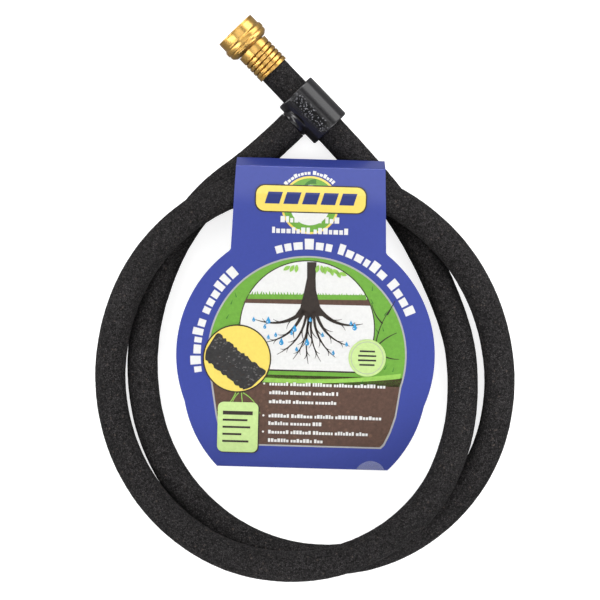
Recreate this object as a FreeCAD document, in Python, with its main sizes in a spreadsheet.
"""Soaker hose stored as a loose ring of two turns.

A porous rubber hose with a brass female coupling at one end.  The other end is pushed on the barbed
branch of a tee clip, whose open sleeve snaps round the hose just below the coupling.  A folded card
hangs over the top of the ring.

Frame: millimetres, +Z up, the ring lies flat, origin at the middle of its footprint on the floor,
+Y towards the coupling.
"""

import FreeCAD
import Part
import math
import os
import re

import Sketcher

Vector = FreeCAD.Vector
doc = FreeCAD.newDocument("soaker_ring")

# ---------------------------------------------------------------- driving dimensions
SIZES = {
    # hose
    "hose_radius": 10.65,
    "hose_bore": 7.95,
    # swivel nut, measured along the coupling from the nut's mouth
    "nut_length": 16.6,
    "barrel_radius": 14.9,
    "bead_radius": 15.9,
    "bead_start": 7.2,
    "bead_end": 12.6,
    "nut_back": 1.7,
    "nut_hole": 10.05,
    "seat_start": 9.9,
    "seat_radius": 12.95,
    "mouth_radius": 13.9,
    "mouth_depth": 1.4,
    # 3/4 in garden hose thread, 11.5 per inch
    "thread_minor": 12.25,
    "thread_major": 13.62,
    "thread_pitch": 2.209,
    "thread_first": 2.3,
    "thread_width": 0.85,
    "thread_root": 0.14,
    # washer and flow restrictor
    "washer_front": 10.0,
    "washer_back": 12.65,
    "washer_bore": 8.0,
    "washer_radius": 12.85,
    "restrictor_back": 13.5,
    "restrictor_radius": 12.6,
    "orifice": 0.8,
    # stem
    "flange_front": 13.6,
    "flange_back": 14.8,
    "flange_radius": 12.7,
    "neck_radius": 9.9,
    "neck_end": 16.95,
    "barb_radius": 7.9,
    "stem_bore": 5.9,
    "stem_end": 37.5,
    "barb_first": 19.4,
    "barb_pitch": 3.5,
    "barb_length": 2.6,
    "barb_depth": 0.6,
    # ferrule
    "ferrule_start": 17.0,
    "ferrule_wall": 0.85,
    "ferrule_end": 38.5,
    "ferrule_radius": 11.75,
    "ferrule_bore": 10.68,
    "ferrule_hole": 8.0,
    "rib_first": 22.2,
    "rib_pitch": 3.34,
    "rib_half": 0.95,
    "rib_depth": 0.6,
    # hose end inside the ferrule, and tee clip, along the coupling from the nut's mouth
    "hose_start": 17.9,
    "clip_at": 74.6,
    "sleeve_back": 15.3,
    "sleeve_ahead": 19.7,
    "sleeve_radius": 15.0,
    "sleeve_bore": 10.75,
    "sleeve_gap": 20.0,
    "lip_round": 1.7,
    "branch_root": 10.9,
    "branch_collar": 16.5,
    "collar_radius": 10.2,
    "tail_reach": 16.6,
    "plug_end": 34.0,
    "plug_radius": 7.9,
    "plug_tip": 6.3,
    "plug_barb_first": 19.0,
    "plug_barb_pitch": 4.6,
    "plug_barb_length": 3.6,
    "plug_barb_depth": 0.9,
    # card, in plan about its own centre and in section above the floor
    "board": 0.5,
    "neck_half_top": 50.3,
    "neck_half_base": 52.8,
    "disc_centre": 39.4,
    "disc_radius": 88.4,
    "flare_height": 31.5,
    "waist_half": 82.0,
    "waist_height": 72.5,
    "foot_half": 58.7,
    "foot_height": 117.0,
    "foot_radius": 86.0,
    "front_foot": 1.65,
    "front_top": 46.1,
    "front_bend": 70.0,
    "fold_front": 88.7,
    "fold_back": 95.3,
    "back_level": 22.7,
    "back_bend": 50.0,
    "back_foot": 0.22,
    "card_reach": 120.0,
    # wafer seal folded over the card's bottom edge
    "seal_radius": 11.0,
    "seal_film": 0.12,
    "seal_beyond": 4.8,
    "seal_across": 47.0,
}
COUNTS = {"threads": 4, "barbs": 5, "ribs": 5, "plug_barbs": 3}
CARD_TURN = -1.6  # degrees, the card hangs a little askew
SEAL_GAP = 0.03

sizes = doc.addObject("Spreadsheet::Sheet", "sizes")
for row, (alias, value) in enumerate(SIZES.items(), start=1):
    sizes.set(f"A{row}", alias)
    sizes.set(f"B{row}", str(value))
    sizes.setAlias(f"B{row}", alias)
doc.recompute()


def size(alias):
    """A driving dimension, read from the sheet."""
    return float(getattr(sizes, alias))


def on_sheet(text):
    """The expression that FreeCAD reads: every word in text is a cell of the sheet."""
    return re.sub(r"[a-z_]+", lambda word: f"sizes.{word.group(0)}", text)


# ---------------------------------------------------------------- route of the hose
# Corners that the hose's centreline turns at, from the end in the ferrule, clockwise round both
# turns seen from above.  The first run is straight through the ferrule and the clip's sleeve.
# Heights: the hose's radius on the floor, two radii more where it crosses over itself.
RING_ROUTE = [
    (-36, 171, 15.8),
    (41, 91.4, 10.7),
    # first turn: inside on the right, crossing over the second turn at the bottom
    (75.6, 44.6, 10.65),
    (103.4, -17, 10.65),
    (109, -55, 10.65),
    (105, -97, 17.4),
    (86, -139, 29.5),
    (48, -171, 32.4),
    (-1, -185, 32.4),
    (-52.7, -178, 28.6),
    (-96.6, -149.4, 21.4),
    (-124.8, -107.8, 12.8),
    (-135.6, -60, 13.4),
    (-129.3, -13.2, 22.4),
    (-109.9, 27.4, 30.4),
    (-79.2, 57.6, 34.1),
    # over both legs at the top, under the card
    (-42, 76.5, 34.6),
    (-1, 81, 34.6),
    (41, 76, 34.6),
    # second turn: outside on the right, flat on the floor to the far side
    (77.3, 56.2, 33.1),
    (107.5, 26.8, 21.6),
    (128, -13, 11),
    (135.2, -60, 10.65),
    (125.2, -108.8, 10.65),
    (95.2, -150.3, 10.65),
    (50.5, -176.9, 10.65),
    (-1, -181, 10.65),
    (-48, -165, 10.65),
    (-84, -134, 10.65),
    (-105, -96, 10.65),
    (-112.6, -56, 10.65),
    (-110.2, -16, 10.65),
    (-104.3, 2.4, 10.65),
]
# The tail goes on from the ring's last point, in line with it, to the clip's branch, which dips
# a little towards the floor.
TAIL_ROUTE = [
    (-104.3, 2.4, 10.65),
    (-98.4, 20.8, 10.65),
    (-85.1, 47, 10.65),
    (-64.3, 73.1, 10.65),
]
TAIL_STRAIGHT = 34.0
BRANCH_DIP = 2.2  # degrees
ARC_SHARE = 0.45

ring_points = [Vector(*point) for point in RING_ROUTE]
hose_start = ring_points[0]
along = (ring_points[1] - hose_start).normalize()
side = Vector(along.y, -along.x, 0).normalize()
nut_mouth = hose_start - along * size("hose_start")
clip_centre = nut_mouth + along * size("clip_at")

# The coupling's own frame: +X along the hose away from the mouth, +Y level, +Z up.  The clip's is
# the same, turned about the hose so that the branch, along -Y, dips.
turn = FreeCAD.Rotation(along, side.negative(), Vector(0, 0, 1), "XYZ")
clip_turn = turn.multiply(FreeCAD.Rotation(Vector(1, 0, 0), BRANCH_DIP))
branch = clip_turn.multVec(Vector(0, -1, 0))
tail_end = clip_centre + branch * size("tail_reach")
tail_points = [Vector(*point) for point in TAIL_ROUTE] + [tail_end + branch * TAIL_STRAIGHT, tail_end]
coupling_place = FreeCAD.Placement(nut_mouth, turn)
clip_place = FreeCAD.Placement(clip_centre, clip_turn)


def tube_path(points):
    """Straight runs joined by tangent arcs, each as large as its two runs allow."""
    edges = []
    radii = []
    last = points[0]
    for before, corner, after in zip(points, points[1:], points[2:]):
        back = before - corner
        ahead = after - corner
        reach = ARC_SHARE * min(back.Length, ahead.Length)
        half_turn = (math.pi - back.getAngle(ahead)) / 2
        radius = reach / math.tan(half_turn)
        back.normalize()
        ahead.normalize()
        start = corner + back * reach
        end = corner + ahead * reach
        bisector = (back + ahead).normalize()
        middle = corner + bisector * (radius / math.cos(half_turn) - radius)
        edges.append(Part.LineSegment(last, start).toShape())
        edges.append(Part.Arc(start, middle, end).toShape())
        radii.append(radius)
        last = end
    edges.append(Part.LineSegment(last, points[-1]).toShape())
    return Part.Wire(edges), radii


def hose_stretch(label, points):
    """A stretch of the hose: one sweep for the outside, one for the bore, and their difference."""
    path, radii = tube_path(points)
    spine = doc.addObject("Part::Feature", f"{label}_path")
    spine.Shape = path
    facing = FreeCAD.Rotation(Vector(0, 0, 1), points[1] - points[0])
    sweeps = []
    for part, alias in (("outside", "hose_radius"), ("bore", "hose_bore")):
        ring = doc.addObject("Part::Circle", f"{label}_{part}_section")
        ring.setExpression("Radius", on_sheet(alias))
        ring.Placement = FreeCAD.Placement(points[0], facing)
        sweep = doc.addObject("Part::Sweep", f"{label}_{part}")
        sweep.Sections = [ring]
        sweep.Spine = (spine, [f"Edge{number + 1}" for number in range(len(path.Edges))])
        sweep.Solid = True
        sweep.Frenet = False
        sweeps.append(sweep)
    hose = doc.addObject("Part::Cut", label)
    hose.Base, hose.Tool = sweeps
    doc.recompute()
    section = math.pi * (size("hose_radius") ** 2 - size("hose_bore") ** 2)
    print(f"{label}: length {path.Length:.1f} mm, tightest arc {min(radii):.0f} mm,"
          f" volume {hose.Shape.Volume:.0f} mm3, section x length {section * path.Length:.0f} mm3")
    print("  arc radii", " ".join(f"{radius:.0f}" for radius in radii))
    return hose


# ---------------------------------------------------------------- helpers for the turned pieces
def new_body(label):
    body = doc.addObject("PartDesign::Body", label)
    body.Label = label
    doc.recompute()
    return body


def origin_plane(body, role):
    return next(feature for feature in body.Origin.OriginFeatures if feature.Role == role)


def new_sketch(body, role, name):
    sketch = body.newObject("Sketcher::SketchObject", name)
    sketch.AttachmentSupport = [(origin_plane(body, role), "")]
    sketch.MapMode = "FlatFace"
    doc.recompute()
    return sketch


def place_corner(sketch, line, corner):
    """Holds the start of a line at (x, y), two expressions on the sheet's cells."""
    for kind, expression in zip(("DistanceX", "DistanceY"), corner):
        value = sketch.evalExpression(on_sheet(expression))
        number = sketch.addConstraint(Sketcher.Constraint(kind, -1, 1, line, 1, float(value)))
        sketch.setExpression(f"Constraints[{number}]", on_sheet(expression))


def draw(sketch, corners, bulges=None):
    """A closed outline through the corners.  bulges gives the radius of a side that is an arc,
    by the side's number, bowed out to the right of the way it is drawn."""
    bulges = bulges or {}
    values = [[float(sketch.evalExpression(on_sheet(text))) for text in corner] for corner in corners]
    points = [Vector(x, y, 0) for x, y in values]
    first = sketch.GeometryCount
    for number, start in enumerate(points):
        end = points[(number + 1) % len(points)]
        if number in bulges:
            radius = size(bulges[number])
            chord = end - start
            rise = radius - math.sqrt(radius ** 2 - (chord.Length / 2) ** 2)
            outward = Vector(chord.y, -chord.x, 0).normalize()
            sketch.addGeometry(Part.Arc(start, (start + end) * 0.5 + outward * rise, end))
        else:
            sketch.addGeometry(Part.LineSegment(start, end))
    for number, corner in enumerate(corners):
        side_number = first + number
        next_number = first + (number + 1) % len(corners)
        sketch.addConstraint(Sketcher.Constraint("Coincident", side_number, 2, next_number, 1))
        place_corner(sketch, side_number, corner)
    for number, alias in bulges.items():
        arc = sketch.addConstraint(Sketcher.Constraint("Radius", first + number, size(alias)))
        sketch.setExpression(f"Constraints[{arc}]", on_sheet(alias))
    doc.recompute()


def turned(body, corners, axis="H_Axis", kind="Revolution", name="blank"):
    """Turns an outline of (along, radius) corners about an axis of its own sketch."""
    sketch = new_sketch(body, "XY_Plane", f"{body.Label}_{name}_outline")
    draw(sketch, corners)
    feature = body.newObject(f"PartDesign::{kind}", f"{body.Label}_{name}")
    feature.Profile = sketch
    feature.ReferenceAxis = (sketch, [axis])
    feature.Angle = 360
    sketch.Visibility = False
    doc.recompute()
    return feature


def repeated(body, feature, pitch, count, axis="H_Axis"):
    """Repeats a turned cut or ridge along its own axis, and checks that it changed the solid."""
    before = body.Shape.Volume
    pattern = body.newObject("PartDesign::LinearPattern", f"{feature.Label}_row")
    pattern.Originals = [feature]
    pattern.Direction = (feature.Profile[0], [axis])
    pattern.setExpression("Length", f"{on_sheet(pitch)} * {COUNTS[count] - 1}")
    pattern.Occurrences = COUNTS[count]
    body.Tip = pattern
    doc.recompute()
    if abs(body.Shape.Volume - before) < 1.0:
        raise RuntimeError(f"{pattern.Label} changed nothing")
    return pattern


# ---------------------------------------------------------------- coupling
def coupling_nut():
    """Pressed brass swivel nut: barrel, rolled bead, thread, seat for the washer, back wall."""
    nut = new_body("coupling_nut")
    turned(nut, [
        ("0", "mouth_radius"),
        ("0", "barrel_radius - 0.3"),
        ("0.3", "barrel_radius"),
        ("bead_start - 1.8", "barrel_radius"),
        ("bead_start", "bead_radius - 0.3"),
        ("bead_start + 1.2", "bead_radius"),
        ("bead_end", "bead_radius"),
        ("bead_end + 1.6", "bead_radius - 0.8"),
        ("nut_length - 1", "bead_radius - 2.2"),
        ("nut_length", "bead_radius - 3.6"),
        ("nut_length", "nut_hole"),
        ("nut_length - nut_back", "nut_hole"),
        ("nut_length - nut_back", "seat_radius"),
        ("seat_start", "seat_radius"),
        ("seat_start", "thread_minor"),
        ("mouth_depth", "thread_minor"),
    ])
    groove = turned(nut, [
        ("thread_first - thread_width", "thread_minor"),
        ("thread_first - thread_width", "thread_minor - 0.5"),
        ("thread_first + thread_width", "thread_minor - 0.5"),
        ("thread_first + thread_width", "thread_minor"),
        ("thread_first + thread_root", "thread_major"),
        ("thread_first - thread_root", "thread_major"),
    ], kind="Groove", name="thread")
    repeated(nut, groove, "thread_pitch", "threads")
    return nut


def coupling_stem():
    """Brass tailpiece: the nut turns on its flange, and its barbs hold the hose from inside."""
    stem = new_body("coupling_stem")
    turned(stem, [
        ("flange_front", "stem_bore"),
        ("flange_front", "flange_radius"),
        ("flange_back", "flange_radius"),
        ("flange_back", "neck_radius"),
        ("neck_end", "neck_radius"),
        ("neck_end", "barb_radius"),
        ("stem_end", "barb_radius"),
        ("stem_end", "stem_bore"),
    ])
    groove = turned(stem, [
        ("barb_first", "barb_radius"),
        ("barb_first", "barb_radius + 0.5"),
        ("barb_first + barb_length", "barb_radius + 0.5"),
        ("barb_first + barb_length", "barb_radius"),
        ("barb_first + 0.2", "barb_radius - barb_depth"),
    ], kind="Groove", name="barb")
    repeated(stem, groove, "barb_pitch", "barbs")
    return stem


def coupling_ferrule():
    """Brass crimp sleeve: cupped over the hose end, its ribs rolled in after assembly."""
    ferrule = new_body("coupling_ferrule")
    turned(ferrule, [
        ("ferrule_start", "ferrule_hole"),
        ("ferrule_start", "ferrule_radius - 0.6"),
        ("ferrule_start + 0.6", "ferrule_radius"),
        ("ferrule_end - 0.3", "ferrule_radius"),
        ("ferrule_end", "ferrule_radius - 0.3"),
        ("ferrule_end", "ferrule_bore"),
        ("ferrule_start + ferrule_wall", "ferrule_bore"),
        ("ferrule_start + ferrule_wall", "ferrule_hole"),
    ])
    groove = turned(ferrule, [
        ("rib_first - rib_half", "ferrule_radius"),
        ("rib_first - rib_half", "ferrule_radius + 0.5"),
        ("rib_first + rib_half", "ferrule_radius + 0.5"),
        ("rib_first + rib_half", "ferrule_radius"),
        ("rib_first + 0.2", "ferrule_radius - rib_depth"),
        ("rib_first - 0.2", "ferrule_radius - rib_depth"),
    ], kind="Groove", name="rib")
    repeated(ferrule, groove, "rib_pitch", "ribs")
    return ferrule


def hose_washer():
    """Rubber washer that lies in the nut's seat, its edges broken."""
    washer = new_body("hose_washer")
    turned(washer, [
        ("washer_front", "washer_bore + 0.3"),
        ("washer_front", "washer_radius - 0.3"),
        ("washer_front + 0.3", "washer_radius"),
        ("washer_back - 0.3", "washer_radius"),
        ("washer_back", "washer_radius - 0.3"),
        ("washer_back", "washer_bore + 0.3"),
        ("washer_back - 0.3", "washer_bore"),
        ("washer_front + 0.3", "washer_bore"),
    ])
    return washer


def flow_restrictor():
    """Plastic disc with one small hole, which keeps the pressure in the porous hose low."""
    disc = new_body("flow_restrictor")
    turned(disc, [
        ("washer_back + 0.05", "orifice * 2"),
        ("washer_back + 0.05", "restrictor_radius"),
        ("restrictor_back", "restrictor_radius"),
        ("restrictor_back", "orifice"),
        ("washer_back + 0.45", "orifice"),
    ])
    return disc


# ---------------------------------------------------------------- tee clip
def tee_clip():
    """One moulding: an open sleeve that snaps round the hose, and a barbed branch for its end."""
    clip = new_body("tee_clip")
    rings = new_sketch(clip, "YZ_Plane", "sleeve_section")
    for alias in ("sleeve_radius", "sleeve_bore"):
        circle = rings.addGeometry(Part.Circle(Vector(0, 0, 0), Vector(0, 0, 1), size(alias)))
        rings.addConstraint(Sketcher.Constraint("Coincident", circle, 3, -1, 1))
        radius = rings.addConstraint(Sketcher.Constraint("Radius", circle, size(alias)))
        rings.setExpression(f"Constraints[{radius}]", on_sheet(alias))
    sleeve = clip.newObject("PartDesign::Pad", "sleeve")
    sleeve.Profile = rings
    sleeve.SideType = "Two sides"
    sleeve.setExpression("Length", on_sheet("sleeve_ahead"))
    sleeve.setExpression("Length2", on_sheet("sleeve_back"))
    doc.recompute()
    turned(clip, [
        ("0", "0 - branch_root"),
        ("collar_radius", "0 - branch_root"),
        ("collar_radius", "0.4 - branch_collar"),
        ("collar_radius - 0.4", "0 - branch_collar"),
        ("plug_radius", "0 - branch_collar"),
        ("plug_radius", "3 - plug_end"),
        ("plug_tip", "0 - plug_end"),
        ("0", "0 - plug_end"),
    ], axis="V_Axis", name="branch")
    barb = turned(clip, [
        ("plug_radius", "0 - plug_barb_first"),
        ("plug_radius + 0.5", "0 - plug_barb_first"),
        ("plug_radius + 0.5", "0 - plug_barb_first - plug_barb_length"),
        ("plug_radius", "0 - plug_barb_first - plug_barb_length"),
        ("plug_radius - plug_barb_depth", "0 - plug_barb_first - 0.3"),
    ], axis="V_Axis", kind="Groove", name="plug_barb")
    row = repeated(clip, barb, "plug_barb_pitch", "plug_barbs", axis="V_Axis")
    if row.Shape.BoundBox.YMin > 1 - size("plug_end"):
        raise RuntimeError("the plug was cut off")
    mouth = new_sketch(clip, "YZ_Plane", "sleeve_mouth_outline")
    draw(mouth, [("0", "0"), ("sleeve_gap", "0 - sleeve_gap"), ("0 - sleeve_gap", "0 - sleeve_gap")])
    opening = clip.newObject("PartDesign::Pocket", "sleeve_mouth")
    opening.Profile = mouth
    opening.Type = "ThroughAll"
    opening.SideType = "Symmetric"
    before = clip.Shape.Volume
    clip.Tip = opening
    doc.recompute()
    if clip.Shape.Volume > before - 100:
        raise RuntimeError("the sleeve was not opened")
    lips = clip.newObject("PartDesign::Fillet", "lip_edges")
    lips.Base = (opening, lip_edges(opening.Shape))
    lips.setExpression("Radius", on_sheet("lip_round"))
    clip.Tip = lips
    doc.recompute()
    return clip


def lip_edges(shape):
    """The four long edges of the sleeve's mouth, which are straight along X and below its axis."""
    found = []
    for number, edge in enumerate(shape.Edges, start=1):
        box = edge.BoundBox
        straight = box.YLength < 0.01 and box.ZLength < 0.01
        if straight and box.XLength > 1.5 * size("sleeve_ahead") and box.ZMax < 0:
            found.append(f"Edge{number}")
    return found


# ---------------------------------------------------------------- card and seal
def hang_card():
    """Printed board folded over the hose: front panel, spine and back panel, then cut to outline."""
    card = new_body("hang_card")
    fold = new_sketch(card, "YZ_Plane", "card_fold")
    draw(fold, [
        ("0 - foot_height - 5", "front_foot - 1.157"),
        ("front_bend", "front_top"),
        ("fold_front", "front_top"),
        ("fold_back", "back_level"),
        ("back_bend", "back_level"),
        ("0 - foot_height", "back_foot"),
        ("0 - foot_height - 5", "back_foot"),
        ("0 - foot_height - 5", "back_foot + board - 0.3"),
        ("0 - foot_height", "back_foot + board"),
        ("back_bend", "back_level + board"),
        ("fold_back - 0.65", "back_level + board"),
        ("fold_front - 0.4", "front_top - board"),
        ("front_bend", "front_top - board"),
        ("0 - foot_height", "front_foot - board"),
    ])
    sheet = card.newObject("PartDesign::Pad", "folded_board")
    sheet.Profile = fold
    sheet.SideType = "Symmetric"
    sheet.setExpression("Length", f"2 * {on_sheet('card_reach')}")
    doc.recompute()
    before = card.Shape.Volume
    cut = new_sketch(card, "XY_Plane", "card_outline")
    draw(cut, [
        ("0 - card_reach - 5", "0 - card_reach - 10"),
        ("card_reach + 5", "0 - card_reach - 10"),
        ("card_reach + 5", "card_reach"),
        ("0 - card_reach - 5", "card_reach"),
    ])
    draw(cut, [
        ("0 - foot_half", "0 - foot_height"),
        ("foot_half", "0 - foot_height"),
        ("waist_half", "0 - waist_height"),
        ("neck_half_base", "flare_height"),
        ("neck_half_top", "fold_back + 5"),
        ("0 - neck_half_top", "fold_back + 5"),
        ("0 - neck_half_base", "flare_height"),
        ("0 - waist_half", "0 - waist_height"),
    ], bulges={1: "foot_radius", 2: "disc_radius", 6: "disc_radius", 7: "foot_radius"})
    trim = card.newObject("PartDesign::Pocket", "trimmed_board")
    trim.Profile = cut
    trim.Type = "ThroughAll"
    trim.SideType = "Symmetric"
    card.Tip = trim
    doc.recompute()
    if card.Shape.Volume > 0.9 * before:
        raise RuntimeError("the card was not trimmed")
    return card


def wafer_half(name, beyond, reach, tilt, level, length):
    """One half of the folded wafer: a thin disc whose centre is past the fold, cut off at the fold."""
    disc = doc.addObject("Part::Cylinder", f"{name}_disc")
    disc.setExpression("Radius", on_sheet("seal_radius"))
    disc.setExpression("Height", on_sheet("seal_film"))
    disc.setExpression("Placement.Base.y", on_sheet(beyond))
    keep = doc.addObject("Part::Box", f"{name}_keep")
    keep.setExpression("Length", on_sheet("2 * seal_radius"))
    keep.Width = length
    keep.Height = 1
    keep.setExpression("Placement.Base.x", on_sheet("0 - seal_radius"))
    keep.Placement.Base.y = reach
    half = doc.addObject("Part::Common", name)
    half.Base = disc
    half.Tool = keep
    half.Placement = FreeCAD.Placement(
        Vector(size("seal_across"), -size("foot_height"), level), FreeCAD.Rotation(Vector(1, 0, 0), tilt))
    return half


def card_seal():
    """Clear wafer folded over the card's bottom edge: a small cap in front, the rest behind."""
    run = size("foot_height") + size("front_bend")
    front_tilt = math.degrees(math.atan2(size("front_top") - size("front_foot"), run))
    fold_depth = 0.25
    front = wafer_half("seal_front", "0 - seal_beyond", -fold_depth, front_tilt,
                       size("front_foot") + SEAL_GAP, 2 * size("seal_radius"))
    back = wafer_half("seal_back", "seal_beyond", -fold_depth, 0, 0.05, 2 * size("seal_radius"))
    edge = doc.addObject("Part::Box", "seal_edge")
    half_chord = math.sqrt(size("seal_radius") ** 2 - size("seal_beyond") ** 2)
    edge.Length = 2 * half_chord
    edge.Width = 0.15
    edge.Height = size("front_foot") + 0.1 - 0.05
    edge.Placement.Base = Vector(size("seal_across") - half_chord, -size("foot_height") - fold_depth, 0.05)
    seal = doc.addObject("Part::MultiFuse", "card_seal")
    seal.Shapes = [front, back, edge]
    doc.recompute()
    return seal


# ---------------------------------------------------------------- build
pieces = [
    hose_stretch("soaker_hose", ring_points),
    hose_stretch("hose_tail", tail_points),
]
for make in (coupling_nut, coupling_stem, coupling_ferrule, hose_washer, flow_restrictor):
    piece = make()
    piece.Placement = coupling_place
    pieces.append(piece)
clip_piece = tee_clip()
clip_piece.Placement = clip_place
pieces.append(clip_piece)
disc_middle = Vector(0, -size("disc_centre"), 0)
card_place = FreeCAD.Placement(Vector(), FreeCAD.Rotation(Vector(0, 0, 1), CARD_TURN), disc_middle)
for make in (hang_card, card_seal):
    piece = make()
    piece.Placement = card_place
    pieces.append(piece)
doc.recompute()

for item in doc.Objects:
    if "Invalid" in item.State or "Error" in item.State:
        raise RuntimeError(f"{item.Label} failed: {item.State}")
os.makedirs("parts", exist_ok=True)
for piece in pieces:
    shape = piece.Shape
    if shape.isNull() or not shape.isValid() or len(shape.Solids) != 1:
        raise RuntimeError(f"{piece.Label} is not one sound solid")
    shape.exportStep(f"parts/{piece.Label}.step")
    box = shape.BoundBox
    print(f"{piece.Label}: {shape.Volume:.1f} mm3, z {box.ZMin:.2f} to {box.ZMax:.2f}")
